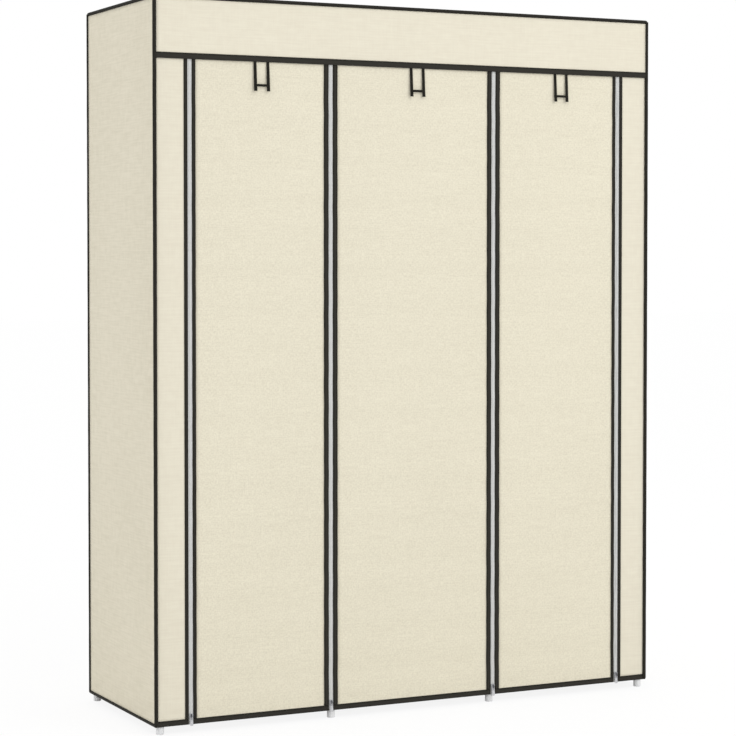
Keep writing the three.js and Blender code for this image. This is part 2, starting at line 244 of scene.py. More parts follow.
def joined(name, meshes):
    """Several meshes as one, with their maps."""
    whole = bpy.data.meshes.new(name)
    gathered = bmesh.new()
    for mesh in meshes:
        gathered.from_mesh(mesh)
    gathered.to_mesh(whole)
    gathered.free()
    return whole


def sealed(mesh, merge_distance=1e-6):
    """A closed mesh with its doubled points merged and its faces turned outward."""
    work = bmesh.new()
    work.from_mesh(mesh)
    bmesh.ops.remove_doubles(work, verts=work.verts, dist=merge_distance)
    bmesh.ops.recalc_face_normals(work, faces=work.faces)
    work.to_mesh(mesh)
    work.free()
    return mesh


def mount(mesh, finish, body="wardrobe", stands_for=(), crease=40):
    """A piece from a mesh, in its finish, on its body, in the place of the CAD nodes that it stands for."""
    mesh.materials.append(finish)
    mesh.polygons.foreach_set("use_smooth", [True] * len(mesh.polygons))
    mesh.set_sharp_from_angle(angle=math.radians(crease))
    piece = bpy.data.objects.new(mesh.name, mesh)
    bpy.context.scene.collection.objects.link(piece)
    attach(piece, body)
    if stands_for:
        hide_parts(*stands_for)
    return piece


def make_finish(name, constants, recipe):
    """A material. Constants go on the shader's own sockets, and the recipe gives what varies over it."""
    finish = bpy.data.materials.new(name)
    start = empty_tree(finish)
    look = start.node("ShaderNodeBsdfPrincipled", {}, {**constants, **recipe(start)})
    start.node("ShaderNodeOutputMaterial", {}, {"Surface": look})
    return finish


def circle(radius, sides):
    """The outline of a round section."""
    angles = np.arange(sides) * 2 * math.pi / sides
    return np.stack([np.cos(angles), np.sin(angles)], axis=1) * radius


def speckle(start, size):
    """Soft noise fixed to the piece, with patches of about the given size in metres."""
    place = start.node("ShaderNodeTexCoord", output="Object")
    return start.node("ShaderNodeTexNoise", {}, {"Vector": place, "Scale": 1 / size})


tube_grey = paint(206, 206, 204)
tube_grey_worn = paint(188, 188, 187)
tube_roughness = (0.32, 0.52)
peel_size = 0.0015
peel_depth = 0.0003
peel_strength = 0.25
wear_size = 0.05
wear_edges = (0.35, 0.7)
tube_sides = 24
tube_radius = 0.0065
tube_wall = 0.0006
tube_rim = 0.0003
socket_bottom = 0.0075
foot_height = 0.016


def coated_steel(start):
    """Powder coat: a fine orange peel and slightly duller patches."""
    peel = speckle(start, peel_size)
    patches = speckle(start, wear_size)
    return {
        "Base Color": patches.between(*wear_edges).tint(tube_grey, tube_grey_worn),
        "Roughness": patches.spread(*tube_roughness),
        "Normal": peel.bump(peel_strength, peel_depth),
    }


steel_finish = make_finish("coated_steel", {"Metallic": 0.15}, coated_steel)


def lathe(name, profile, direction, start=(0, 0, 0), shut=False):
    """A turned shape, its axis from the start in a direction. The profile is (along, radius), and shut joins
    the profile's last point to its first."""
    along_axis = Vector(direction).normalized()
    side_axis = along_axis.orthogonal().normalized()
    other_axis = along_axis.cross(side_axis)
    section = circle(1, tube_sides)
    spokes = np.outer(section[:, 0], side_axis) + np.outer(section[:, 1], other_axis)
    profile = np.asarray(profile, float)
    rims = profile[None, :, 1, None] * spokes[:, None, :] + profile[None, :, 0, None] * np.array(along_axis)
    return sealed(skin(name, rims + np.array(start), closed=shut, looped=True))


def steel_tube(name, start, end):
    """A hollow tube with its cut ends rolled smooth."""
    start, end = Vector(start), Vector(end)
    length = (end - start).length
    bore = tube_radius - tube_wall
    outside = [(0, tube_radius - tube_rim), (tube_rim, tube_radius)]
    outside += [(length - tube_rim, tube_radius), (length, tube_radius - tube_rim)]
    inside = [(length, bore), (0, bore)]
    return lathe(name, outside + inside, end - start, start, shut=True)


def socketed_tube(name, start, end):
    """A tube between the centres of two fittings, its ends at the bottoms of their sockets."""
    start, end = np.array(start, float), np.array(end, float)
    inset = (end - start) / np.linalg.norm(end - start) * socket_bottom
    return steel_tube(name, start + inset, end - inset)


def tubing(mesh, *stands_for):
    """A piece of steel tube on the frame, in its coat."""
    mount(mesh, steel_finish, stands_for=stands_for)


post_x = [middle(f"bottom_depth_tube_{i}")[0] for i in (1, 2, 3, 4)]
rail_y = {line: middle(f"bottom_{line}_rail")[1] for line in ("front", "back")}
rail_z = {level: middle(f"{level}_front_rail")[2] for level in ("bottom", "top")}
shelf_z = [middle(f"centre_shelf_{i}")[2] for i in (1, 2, 3)]
rod_y = middle("left_hanging_rod")[1]

for line, y in rail_y.items():
    for i, x in enumerate(post_x):
        name = f"{line}_post_{i + 1}"
        tubing(steel_tube(name, (x, y, foot_height), (x, y, rail_z["top"] - socket_bottom)), name)

for level, z in rail_z.items():
    for line, y in rail_y.items():
        lengths = []
        for left, right in zip(post_x, post_x[1:]):
            lengths.append(socketed_tube("length", (left, y, z), (right, y, z)))
        tubing(joined(f"{level}_{line}_rails", lengths), f"{level}_{line}_rail")
    for i, x in enumerate(post_x):
        ends = (x, rail_y["front"], z), (x, rail_y["back"], z)
        tubing(socketed_tube(f"{level}_depth_{i + 1}", *ends), f"{level}_depth_tube_{i + 1}")

outer_bays = {"left": post_x[:2], "right": post_x[2:]}
for side, (from_x, to_x) in outer_bays.items():
    ends = (from_x, rod_y, rail_z["top"]), (to_x, rod_y, rail_z["top"])
    tubing(socketed_tube(f"{side}_rod", *ends), f"{side}_hanging_rod")

for i, z in enumerate(shelf_z):
    pair = [socketed_tube("length", (post_x[1], y, z), (post_x[2], y, z)) for y in rail_y.values()]
    tubing(joined(f"shelf_tubes_{i + 1}", pair))

# The plastic fittings
# Moulded light grey plastic: each upright stands in a bottom fitting with its foot and carries a top one,
# and the tubes push into their sockets. The shelf tees and the rod saddles clip round a tube.
fitting_grey = paint(244, 244, 245)
fitting_grey_dull = paint(235, 236, 237)
fitting_roughness = (0.38, 0.53)
grain_size = 0.0009
grain_depth = 0.0002
grain_strength = 0.15
scuff_size = 0.02
scuff_edges = (0.3, 0.75)
fitting_radius = 0.009
fitting_core = 0.0084
socket_length = 0.030
socket_bore = 0.0067
collar_length = 0.004
collar_rise = 0.0006
saddle_half = 0.015
tee_half = 0.017
foot_rim = 0.0012
foot_rim_share = (1 / 3, 0.75)
knob_rings = 9


def moulded_plastic(start):
    """Moulded plastic: nearly smooth, a little duller in places."""
    grain = speckle(start, grain_size)
    patches = speckle(start, scuff_size)
    return {
        "Base Color": patches.between(*scuff_edges).tint(fitting_grey, fitting_grey_dull),
        "Roughness": patches.spread(*fitting_roughness),
        "Normal": grain.bump(grain_strength, grain_depth),
    }


plastic_finish = make_finish("moulded_plastic", {"Specular IOR Level": 0.4}, moulded_plastic)


def socket_shape(direction):
    """The outside of one socket, from the fitting's centre to its collared mouth."""
    neck = socket_length - collar_length
    profile = [(0, 0), (0, fitting_core), (neck - collar_rise, fitting_core), (neck, fitting_radius)]
    profile += [(socket_length - collar_rise, fitting_radius), (socket_length, fitting_core)]
    profile += [(socket_length, 0)]
    return lathe("socket", profile, direction)


def bore_shape(direction, start=socket_bottom, end=2 * socket_length):
    """What a socket's bore takes away."""
    return lathe("bore", [(start, 0), (start, socket_bore), (end, socket_bore), (end, 0)], direction)


def knob_shape():
    """The round heart of a fitting where its sockets meet."""
    angles = np.linspace(-math.pi / 2, math.pi / 2, knob_rings)
    profile = [(fitting_radius * math.sin(angle), fitting_radius * math.cos(angle)) for angle in angles]
    return lathe("knob", profile, (0, 0, 1))


def foot_shape(height):
    """A foot from the floor to the fitting's centre, its rim rounded and a shallow groove above it."""
    lip = fitting_radius - foot_rim
    rounded_up, rounded_out = foot_rim * foot_rim_share[0], foot_rim * foot_rim_share[1]
    profile = [(-height, 0), (-height, lip), (rounded_up - height, lip + rounded_out)]
    profile += [(foot_rim - height, fitting_radius), (foot_height - height - collar_rise, fitting_radius)]
    profile += [(foot_height - height, fitting_core), (0, fitting_core), (0, 0)]
    return lathe("foot", profile, (0, 0, 1))


def sleeve_shape(axis, half):
    """A sleeve round a tube that passes through, collared at both ends."""
    profile = [(-half, 0), (-half, fitting_core), (collar_rise - half, fitting_radius)]
    profile += [(collar_length - half, fitting_radius), (collar_length + collar_rise - half, fitting_core)]
    mirrored = [(-along, radius) for along, radius in profile[::-1]]
    return lathe("sleeve", profile + mirrored, axis)


def moulded(shapes, bores):
    """Shapes joined into one solid, less their bores."""
    host = bpy.data.objects.new("host", shapes[0])
    bpy.context.scene.collection.objects.link(host)
    helpers = [host]
    for operation, others in (("UNION", shapes[1:]), ("DIFFERENCE", bores)):
        for other in others:
            helper = bpy.data.objects.new("helper", other)
            bpy.context.scene.collection.objects.link(helper)
            helpers.append(helper)
            cutter = host.modifiers.new(operation, "BOOLEAN")
            cutter.operation = operation
            cutter.solver = "EXACT"
            cutter.object = helper
    seen = host.evaluated_get(bpy.context.evaluated_depsgraph_get())
    solid = bpy.data.meshes.new_from_object(seen)
    for helper in helpers:
        bpy.data.objects.remove(helper)
    return solid


def fitting(centre, ways, foot=False, sleeve=None, sleeve_half=saddle_half):
    """One fitting at its place: sockets along its ways, and a foot or a sleeve round a tube."""
    shapes = [knob_shape()] + [socket_shape(way) for way in ways]
    bores = [bore_shape(way) for way in ways]
    if foot:
        shapes.append(foot_shape(centre[2]))
    if sleeve:
        shapes.append(sleeve_shape(sleeve, sleeve_half))
        bores += [bore_shape(sleeve, -2 * sleeve_half, 2 * sleeve_half)]
    solid = moulded(shapes, bores)
    solid.transform(Matrix.Translation(centre))
    return solid


for line, y in rail_y.items():
    inward = 1 if line == "front" else -1
    for i, x in enumerate(post_x):
        sideways = [(side, 0, 0) for side in (-1, 1) if 0 <= i + side < len(post_x)]
        flat_ways = [(0, inward, 0), *sideways]
        fittings = [
            fitting((x, y, rail_z["bottom"]), [(0, 0, 1), *flat_ways], foot=True),
            fitting((x, y, rail_z["top"]), [(0, 0, -1), *flat_ways]),
        ]
        if i in (1, 2):
            to_middle = [(1 if i == 1 else -1, 0, 0)]
            for z in shelf_z:
                fittings.append(fitting((x, y, z), to_middle, sleeve=(0, 0, 1), sleeve_half=tee_half))
        moulding = joined(f"{line}_fittings_{i + 1}", fittings)
        mount(moulding, plastic_finish, stands_for=[f"{line}_post_{i + 1}"])

for side, ends in outer_bays.items():
    pair = []
    for x, way in zip(ends, (1, -1)):
        pair.append(fitting((x, rod_y, rail_z["top"]), [(way, 0, 0)], sleeve=(0, 1, 0)))
    saddles = joined(f"{side}_rod_saddles", pair)
    mount(saddles, plastic_finish, stands_for=[f"{side}_hanging_rod"])

# The decks and shelves
# Cream cloth, cut in one piece and turned back round a front and a back tube into sewn sleeves. The corners
# are notched for the sockets, and the cloth sags a little between the tubes.
shelf_cream = paint(221, 214, 195)
shelf_cream_dull = paint(212, 204, 186)
shelf_grain = 0.3
cloth_thickness = 0.0008
cloth_crease = 60
sleeve_seam = 0.016
seam_drop = 1.5 * cloth_thickness
sleeve_steps = 14
deck_steps = 40
deck_columns = 24
notch_clearance = 0.0003
notch_width = socket_length - fitting_radius
notch_reach = socket_length + notch_clearance
notch_bevel = 0.002
deck_sag = 0.003
shelf_sag = 0.005
hollow_share = 0.5
cloth_roughness = (0.84, 0.94)
thread_pitch = 0.0011
thread_depth = 0.00025
thread_strength = 0.3
weft_slub = (0.075, 0.0036)
warp_slub = (0.0030, 0.06)
blotch_size = (0.018, 0.018)
shading_size = (0.35, 0.5)
fibre_size = (0.0065, 0.0023)
slub_shares = (0.36, 0.2, 0.26, 0.18)
crossing_share = 0.03
dull_edges = (0.62, 0.38)
thread_rises = (0.5, 0.8, 0.6)


def cut_place(start):
    """The place on the cloth as it was cut, in metres."""
    return start.node("ShaderNodeUVMap", {"uv_map": "cut"})


def cut_distances(start):
    """How far a place is across and along the cloth as it was cut."""
    place = cut_place(start)
    return [start.node("ShaderNodeSeparateXYZ", {}, {0: place}, output) for output in (0, 1)]


def threads(start, size, detail=2.0):
    """Noise in patches of the given size, across and along the cut cloth, in metres."""
    scale = (1 / size[0], 1 / size[1], 1)
    drawn = start.node("ShaderNodeMapping", {}, {"Vector": cut_place(start), "Scale": scale})
    sockets = {"Vector": drawn, "Scale": 1.0, "Detail": detail}
    return start.node("ShaderNodeTexNoise", {"noise_dimensions": "2D"}, sockets)


def blend(strands, shares):
    """Strands added up, each by its share."""
    first, *others = [strand * share for strand, share in zip(strands, shares)]
    return sum(others, first)


def weave(start):
    """Plain weave: threads that pass over and under each other, as a height."""
    turns = [distance * (math.pi / thread_pitch) for distance in cut_distances(start)]
    return start.math("SINE", turns[0]) * start.math("SINE", turns[1])


def cream_cloth(light, dull, grain):
    """The recipe of the cover's cloth: slubbed threads both ways, soft blotches and a plain weave.
    grain is the share of the short, fine fibres in its look."""

    def recipe(start):
        weft = threads(start, weft_slub)
        warp = threads(start, warp_slub)
        blotches = threads(start, blotch_size, 3.0)
        broad = threads(start, shading_size)
        slubs = blend((weft, warp, blotches, broad), slub_shares)
        fine = threads(start, fibre_size) * 0.5 + threads(start, fibre_size[::-1]) * 0.5
        crossings = weave(start)
        worn = slubs * (1 - grain) + fine * grain + crossings * crossing_share
        height = blend((crossings, weft, warp), thread_rises)
        return {
            "Base Color": worn.between(*dull_edges).tint(dull, light),
            "Roughness": blotches.spread(*cloth_roughness),
            "Normal": height.bump(thread_strength, thread_depth),
        }

    return recipe


cloth_gloss = {"Specular IOR Level": 0.2}
shelf_recipe = cream_cloth(shelf_cream, shelf_cream_dull, shelf_grain)
shelf_finish = make_finish("shelf_cloth", cloth_gloss, shelf_recipe)


def sleeve_line(y, z, side):
    """The cloth's line round one tube, from the seam on its inner side, under it and up to its top.
    side is the direction from the tube to the middle of the deck."""
    wrap = tube_radius + cloth_thickness
    seam = np.array([sleeve_seam, wrap - seam_drop])
    lift = math.atan2(seam[1], seam[0])
    touch = lift - math.acos(wrap / np.linalg.norm(seam))
    turns = np.linspace(touch, -1.5 * math.pi, sleeve_steps)
    wrapped = np.stack([np.cos(turns), np.sin(turns)], axis=1) * wrap
    line = np.vstack([seam, wrapped])
    return line * (side, 1) + (y, z)


def thick_cloth(mesh, finish, node):
    """A piece of cloth from a single layer, given its thickness."""
    cloth = mount(mesh, finish, stands_for=[node], crease=cloth_crease)
    layer = cloth.modifiers.new("thickness", "SOLIDIFY")
    layer.thickness = cloth_thickness
    layer.offset = 0
    return cloth


def slung_cloth(name, node, z, sag):
    """The cloth of a deck or shelf between its two tubes."""
    low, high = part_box(node)
    front = sleeve_line(rail_y["front"], z, 1)
    back = sleeve_line(rail_y["back"], z, -1)[::-1]
    share = np.linspace(0, 1, deck_steps)[1:-1]
    belly = np.sin(np.pi * share) ** 2
    top_y = front[-1, 0] + (back[0, 0] - front[-1, 0]) * share
    top_z = front[-1, 1] - sag * belly
    line = np.vstack([front, np.stack([top_y, top_z], axis=1), back])
    from_rail = np.minimum(line[:, 0] - rail_y["front"], rail_y["back"] - line[:, 0])
    inside = np.clip((from_rail - notch_reach) / notch_bevel, 0, 1)
    half = (high.x - low.x) / 2 - notch_width * (1 - inside)
    spread = np.linspace(-1, 1, deck_columns)
    on_top = np.zeros(len(line))
    on_top[len(front):-len(back)] = belly
    hollow = (1 - spread ** 2) * sag * hollow_share
    grid = np.empty((len(line), deck_columns, 3))
    grid[..., 0] = (high.x + low.x) / 2 + half[:, None] * spread
    grid[..., 1] = line[:, None, 0]
    grid[..., 2] = line[:, None, 1] - on_top[:, None] * hollow
    cloth = thick_cloth(skin(name, grid), shelf_finish, node)


for bay in ("left", "centre", "right"):
    slung_cloth(f"{bay}_deck_cloth", f"{bay}_deck", rail_z["bottom"], deck_sag)
for i, z in enumerate(shelf_z):
    slung_cloth(f"shelf_cloth_{i + 1}", f"centre_shelf_{i + 1}", z, shelf_sag)

# The cover's cloth
# One skin of cream cloth over the frame: roof, back, two sides, a narrow strip at each end of the front and
# the valance that hides the tops of the doors. Its edges run into the pipings and bindings.
cover_cream = paint(237, 230, 210)
cover_cream_dull = paint(226, 219, 198)
# Painted light: the strips and the valance take a lighter copy of the cover's cream, for the brighter light
# that falls on the top of the front.
front_cream_painted_light = paint(237, 231, 212)
front_cream_dull_painted_light = paint(231, 224, 205)
cover_grain = 0.08
seam_reach = 0.0015
slot_reach = 0.0025
hem_reach = 0.006

cover_recipe = cream_cloth(cover_cream, cover_cream_dull, cover_grain)
cover_finish = make_finish("cover_cloth", cloth_gloss, cover_recipe)
# The same cloth as the cover, only painted lighter, standing in for light.
front_recipe_painted_light = cream_cloth(front_cream_painted_light, front_cream_dull_painted_light, cover_grain)
front_finish_painted_light = make_finish("front_cloth_painted_light", cloth_gloss, front_recipe_painted_light)


def fade(place, length, reach):
    """0 at both edges of a length, and 1 from the reach inward."""
    inward = np.clip(np.minimum(place, length - place) / reach, 0, 1)
    return inward * inward * (3 - 2 * inward)


def waves(angle, parts):
    """Waves added up. Each part is (rate, phase, height)."""
    return sum(height * np.sin(angle * rate + phase) for rate, phase, height in parts)


def cloth_sheet(name, node, corner, across, along, spacing, swell=None, finish=cover_finish):
    """A sheet of the cover from its lower left corner, seen from outside. across and along are its edges,
    and swell gives how far a point stands out, from its distances across and along and the sheet's size."""
    corner, across, along = np.array(corner), np.array(across), np.array(along)
    width, length = np.linalg.norm(across), np.linalg.norm(along)
    outward = np.cross(across, along) / (width * length)
    u = np.linspace(0, width, max(2, round(width / spacing[0])))
    v = np.linspace(0, length, max(2, round(length / spacing[1])))
    v_grid, u_grid = np.meshgrid(v, u, indexing="ij")
    grid = corner + u_grid[..., None] * across / width + v_grid[..., None] * along / length
    if swell is not None:
        grid = grid + swell(u_grid, v_grid, width, length)[..., None] * outward
    cloth = thick_cloth(skin(name, grid), finish, node)
    cloth["flat"] = (width, length)
    return cloth


def declare(cloth):
    """Reads a sheet's flat size and does nothing with it."""
    flat = tuple(cloth["flat"])


roof_sag = 0.005
roof_tension = 0.06
roof_spacing = (0.010, 0.010)
roof_middle = middle("roof_panel")


def roof_swell(u, v, width, depth):
    """The roof sinks a little between the tubes that carry it."""
    x, y = u - width / 2 + roof_middle[0], v - depth / 2 + roof_middle[1]
    free = np.ones_like(x)
    for line in rail_y.values():
        free = free * (1 - np.exp(-((y - line) / roof_tension) ** 2))
    for line in post_x:
        free = free * (1 - np.exp(-((x - line) / roof_tension) ** 2))
    over_rod = np.abs(x) > post_x[2]
    rod = np.where(over_rod, np.exp(-((y - rod_y) / roof_tension) ** 2), 0)
    rod_ends = 1 - np.exp(-((np.abs(x) - post_x[2]) / roof_tension) ** 2)
    return -roof_sag * free * (1 - rod * rod_ends)


low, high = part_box("roof_panel")
corner = (low.x - seam_reach, low.y - seam_reach, (low.z + high.z) / 2)
edges = (high.x - low.x + 2 * seam_reach, 0, 0), (0, high.y - low.y + 2 * seam_reach, 0)
roof = cloth_sheet("roof_cloth", "roof_panel", corner, *edges, roof_spacing, roof_swell)

wall_spacing = (0.012, 0.012)
fold_count = 3
fold_pitches = (0.16, 0.34)
fold_lean = 0.08
fold_depth = 0.0012
fold_least = 0.6
fold_reach = 0.06


def wall_folds(seed):
    """Broad, shallow folds that hang down a wall of the cover and die out at its seams."""
    turns = np.random.default_rng(seed)
    folds = []
    for _ in range(fold_count):
        pitch, phase = turns.uniform(*fold_pitches), turns.uniform(0, 2 * math.pi)
        folds.append((pitch, phase, turns.uniform(-fold_lean, fold_lean)))

    def swell(u, v, width, length):
        folded = sum(np.sin(2 * math.pi * (u + lean * v) / pitch + phase) for pitch, phase, lean in folds)
        hang = fold_least + (1 - fold_least) * np.sin(math.pi * v / length)
        swelled = fold_depth / fold_count * folded * hang
        return swelled * fade(u, width, fold_reach) * fade(v, length, fold_reach)

    return swell


def wall(name, node, outward, seed):
    """A side or the back of the cover, from its binding at the foot to the piping under the roof."""
    low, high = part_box(node)
    centre = (low + high) / 2
    length = high.z - low.z + seam_reach + hem_reach
    foot = low.z - hem_reach
    if outward == "back":
        width = high.x - low.x + 2 * seam_reach
        corner, across = (high.x + seam_reach, centre.y, foot), (-width, 0, 0)
    else:
        width = high.y - low.y + 2 * seam_reach
        turn = 1 if outward == "left" else -1
        first_y = high.y + seam_reach if outward == "left" else low.y - seam_reach
        corner, across = (centre.x, first_y, foot), (0, -turn * width, 0)
    return cloth_sheet(name, node, corner, across, (0, 0, length), wall_spacing, wall_folds(seed))


walls = {}
for side, seed in (("left", 3), ("right", 4)):
    walls[side] = wall(f"{side}_side_cloth", f"{side}_side_panel", side, seed)
back_wall = wall("back_cloth", "back_panel", "back", 5)


def front_sheet(name, node, reaches, spacing, finish, swell=None):
    """A sheet of the front over its CAD panel. It runs on into its hem at the foot, and by its reaches into
    the seams on the left, on the right and at the top."""
    low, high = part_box(node)
    left_reach, right_reach, top_reach = reaches
    corner = (low.x - left_reach, (low.y + high.y) / 2, low.z - hem_reach)
    across = (high.x + right_reach - corner[0], 0, 0)
    along = (0, 0, high.z + top_reach - corner[2])
    return cloth_sheet(name, node, corner, across, along, spacing, swell, finish)


strips = {}
strip_spacing = (0.006, 0.012)
strip_reaches = {"left": (seam_reach, slot_reach, seam_reach), "right": (slot_reach, seam_reach, seam_reach)}
for side, reaches in strip_reaches.items():
    name, node = f"{side}_strip_cloth", f"{side}_front_strip"
    strips[side] = front_sheet(name, node, reaches, strip_spacing, front_finish_painted_light)

valance_reaches = (seam_reach, seam_reach, seam_reach)
valance_spacing = (0.010, 0.008)
valance_fold = 0.0004
valance_waves = ((1 / 0.31, 0.7, 1.0), (1 / 0.17, 2.1, 0.6))


def valance_swell(u, v, width, height):
    """The valance hangs in very shallow waves, fixed at its ends and under the piping."""
    ends = fade(u, width, fold_reach)
    return valance_fold * waves(2 * math.pi * u, valance_waves) * ends * (1 - v / height)


look = valance_spacing, front_finish_painted_light, valance_swell
valance = front_sheet("valance_cloth", "valance", valance_reaches, *look)

# The pipings
# Black tape sewn round a cord and into every seam of the box: one ring round the roof and one piping down
# each corner. They hold the cover's corners square.
binding_black = paint(30, 28, 22)
# The tape's paler middle colour is painted light, and its edges keep the darker black as painted shade.
binding_black_lit_middle = paint(55, 53, 48)
binding_thread = paint(70, 67, 61)
binding_roughness = (0.66, 0.86)
tape_lit_middle = (0.0015, 0.0042)
lit_middle_share = 0.75
fuzz_share = 0.5
tape_fuzz = (0.004, 0.002)
rib_pitch = 0.0009
rib_depth = 0.00025
rib_strength = 0.45
tape_rises = (0.35, 0.6, 1.6)
stitch_show = 0.6
stitch_inset = 0.0016
stitch_width = 0.0003
stitch_pitch = 0.0032
stitch_gap_share = 0.22
piping_radius = 0.0043
piping_inset = 0.0038
piping_shade = 0.0028
piping_sides = 16
piping_spacing = 0.012
piping_turn = 0.006
piping_turn_steps = 7
piping_end_shares = (0.0, 0.35, 0.7, 0.92, 1.0)
piping_least_share = 0.08
piping_ripple = 0.00006
ripple_waves = ((1 / 0.0171, 0.0, 1.0), (1 / 0.0293, 1.3, 1.0), (1 / 0.0067, 0.4, 1.0))


def edge_map(start):
    """The numbers that the mesh holds as from_edge."""
    return start.node("ShaderNodeAttribute", {"attribute_name": "from_edge"}, {}, 2)


def black_tape(start):
    """Ribbed woven tape with painted shade along its edges and a paler middle, and a line of stitches near
    each edge.
    """
    across, along = cut_distances(start)
    inward = edge_map(start)
    off_line = start.math("ABSOLUTE", inward - stitch_inset)
    in_stitch = start.math("GREATER_THAN", start.math("FRACT", along / stitch_pitch), stitch_gap_share)
    stitch = start.math("LESS_THAN", off_line, stitch_width) * in_stitch
    ribs = start.math("SINE", along * (2 * math.pi / rib_pitch) + across * (math.pi / rib_pitch))
    fuzz = threads(start, tape_fuzz, 3.0)
    # Painted shade: the tape is coloured darker near its edges and paler in its middle, with random fuzz
    # over both.
    lighter = blend((inward.between(*tape_lit_middle), fuzz), (lit_middle_share, fuzz_share)) - fuzz_share / 2
    height = blend((ribs, fuzz, stitch), tape_rises)
    tape = lighter.tint(binding_black, binding_black_lit_middle)
    return {
        "Base Color": (stitch * stitch_show).tint(tape, binding_thread),
        "Roughness": fuzz.spread(*binding_roughness),
        "Normal": height.bump(rib_strength, rib_depth),
    }


binding_finish = make_finish("black_binding", {"Specular IOR Level": 0.15}, black_tape)


def swept(name, path, outline, side, up, looped=False, from_edge=None, sizes=None):
    """A closed section carried along a path. The outline is (toward side, toward up), in metres, and sizes
    says how much larger or smaller it is at each point."""
    path, outline = np.asarray(path, float), np.asarray(outline, float)
    side = np.broadcast_to(np.asarray(side, float), path.shape)
    up = np.broadcast_to(np.asarray(up, float), path.shape)
    offset = outline[None, :, :1] * side[:, None] + outline[None, :, 1:] * up[:, None]
    sizes = np.ones(len(path)) if sizes is None else sizes
    grid = path[:, None] + offset * sizes[:, None, None]
    return sealed(skin(name, grid, closed=True, looped=looped, capped=not looped, from_edge=from_edge))


def steps_between(start, end, spacing):
    """Points along a straight line, about a spacing apart."""
    start, end = np.asarray(start, float), np.asarray(end, float)
    count = max(2, round(np.linalg.norm(end - start) / spacing) + 1)
    return start + (end - start) * np.linspace(0, 1, count)[:, None]


def trim(mesh, node="cover_piping", body="wardrobe"):
    """A run of black piping, binding or ribbon, in the place of its CAD node."""
    return mount(mesh, binding_finish, body=body, stands_for=[node])


piping_low, piping_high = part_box("cover_piping")
ring_x = piping_high.x - piping_inset
ring_z = piping_high.z - piping_inset
ring_y = {"front": piping_low.y + piping_inset, "back": piping_high.y - piping_inset}
round_cord = circle(piping_radius, piping_sides)
# The whole cord gets one from_edge, which puts it partway into the tape's painted paler middle.
cord_shade = np.full(piping_sides, piping_shade)


def ripple(distance):
    """The small unevenness of hand-fed sewing, along a seam."""
    return piping_ripple * waves(distance, ripple_waves)


def roof_ring():
    """The path of the piping round the roof, and the direction away from the middle at each point."""
    points, outward = [], []
    corners = [(1, "front"), (1, "back"), (-1, "back"), (-1, "front")]
    centres = []
    for x, line in corners:
        y = ring_y[line] - math.copysign(piping_turn, ring_y[line])
        centres.append(np.array([x * (ring_x - piping_turn), y, ring_z]))
    for i, centre in enumerate(centres):
        for angle in np.radians(np.linspace(-90, 0, piping_turn_steps)) + i * math.pi / 2:
            direction = np.array([math.cos(angle), math.sin(angle), 0])
            points.append(centre + piping_turn * direction)
            outward.append(direction)
        following = centres[(i + 1) % len(centres)] + piping_turn * outward[-1]
        for point in steps_between(points[-1], following, piping_spacing)[1:-1]:
            points.append(point)
            outward.append(outward[-1])
    return np.array(points), np.array(outward)


ring_path, ring_outward = roof_ring()
ring_path = ring_path + ring_outward * ripple(run_along(ring_path, False))[:, None]
trim(swept("roof_piping", ring_path, round_cord, ring_outward, (0, 0, 1), looped=True, from_edge=cord_shade))


def corner_piping(name, path):
    """A straight run of piping whose first end is rounded off."""
    along = (path[1] - path[0]) / np.linalg.norm(path[1] - path[0])
    shares = np.array(piping_end_shares)
    first = [path[0] + along * piping_radius * (1 - math.sqrt(1 - share ** 2)) for share in shares]
    sizes = np.concatenate([np.maximum(shares, piping_least_share), np.ones(len(path) - 1)])
    run = np.vstack([first, path[1:]])
    return swept(name, run, round_cord, (1, 0, 0), (0, 1, 0), from_edge=cord_shade, sizes=sizes)


for line, y in ring_y.items():
    for side, x in (("left", -ring_x), ("right", ring_x)):
        path = steps_between((x, y, piping_low.z), (x, y, ring_z), piping_spacing)
        path[:, 0] += math.copysign(1, x) * ripple(path[:, 2] + x)
        trim(corner_piping(f"{line}_{side}_piping", path))

# The bindings of the cover
# Black tape folded over every raw edge at the foot of the cover and sewn through, a deeper one round the
# hem of the valance, and a flat tape over the seam of each outer zip.
part_gap = 0.0003
binding_spacing = 0.015
swing_spacing = 0.006
binding_slot = 0.0010
slot_depth_share = 0.62
seam_slot_share = 0.4
fold_steps = 6
lip_round = 0.0003
stitch_sink = 0.00018
back_lip = 0.0003
down = (0, 0, -1)
to_front = (0, -1, 0)

strip_low, strip_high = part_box("right_front_strip")
door_hem_low, door_hem_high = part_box("right_door_hem")
side_low, side_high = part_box("right_side_panel")
hem_thickness = door_hem_high.y - door_hem_low.y
hem_height = door_hem_high.z - door_hem_low.z
hem_middle_y = (door_hem_high.y + door_hem_low.y) / 2
hem_lip = piping_low.z + hem_height
front_cloth_y = (strip_low.y + strip_high.y) / 2
front_cloth_back = front_cloth_y - hem_middle_y
wall_cloth_back = hem_thickness / 2 - (side_high.x - side_low.x) / 2


def tape_face(width):
    """A tape's face from its lip to its middle, sunk along the stitches: (from the lip, height)."""
    half = hem_thickness / 2
    face = [(0, half - lip_round), (lip_round, half), (stitch_inset - lip_round, half)]
    return face + [(stitch_inset, half - stitch_sink), (stitch_inset + lip_round, half), (width / 2, half)]


def slot_faces(cloth_back):
    """The heights of the slot that the cloth runs into. It lies cloth_back behind the tape's middle."""
    low = max(-cloth_back - binding_slot / 2, back_lip - hem_thickness / 2)
    return low, binding_slot / 2 - cloth_back


def folded_outline(width, cloth_back, slot_share):
    """A tape folded over a cloth edge."""
    half = hem_thickness / 2
    fold = np.radians(np.linspace(90, 0, fold_steps))
    face = tape_face(width)
    face += [(width - half + half * math.cos(angle), half * math.sin(angle)) for angle in fold]
    back = [(along, -height) for along, height in face[:-1]][::-1]
    low, high = slot_faces(cloth_back)
    depth = width * slot_share
    return np.array(face + back + [(0, low), (depth, low), (depth, high), (0, high)])


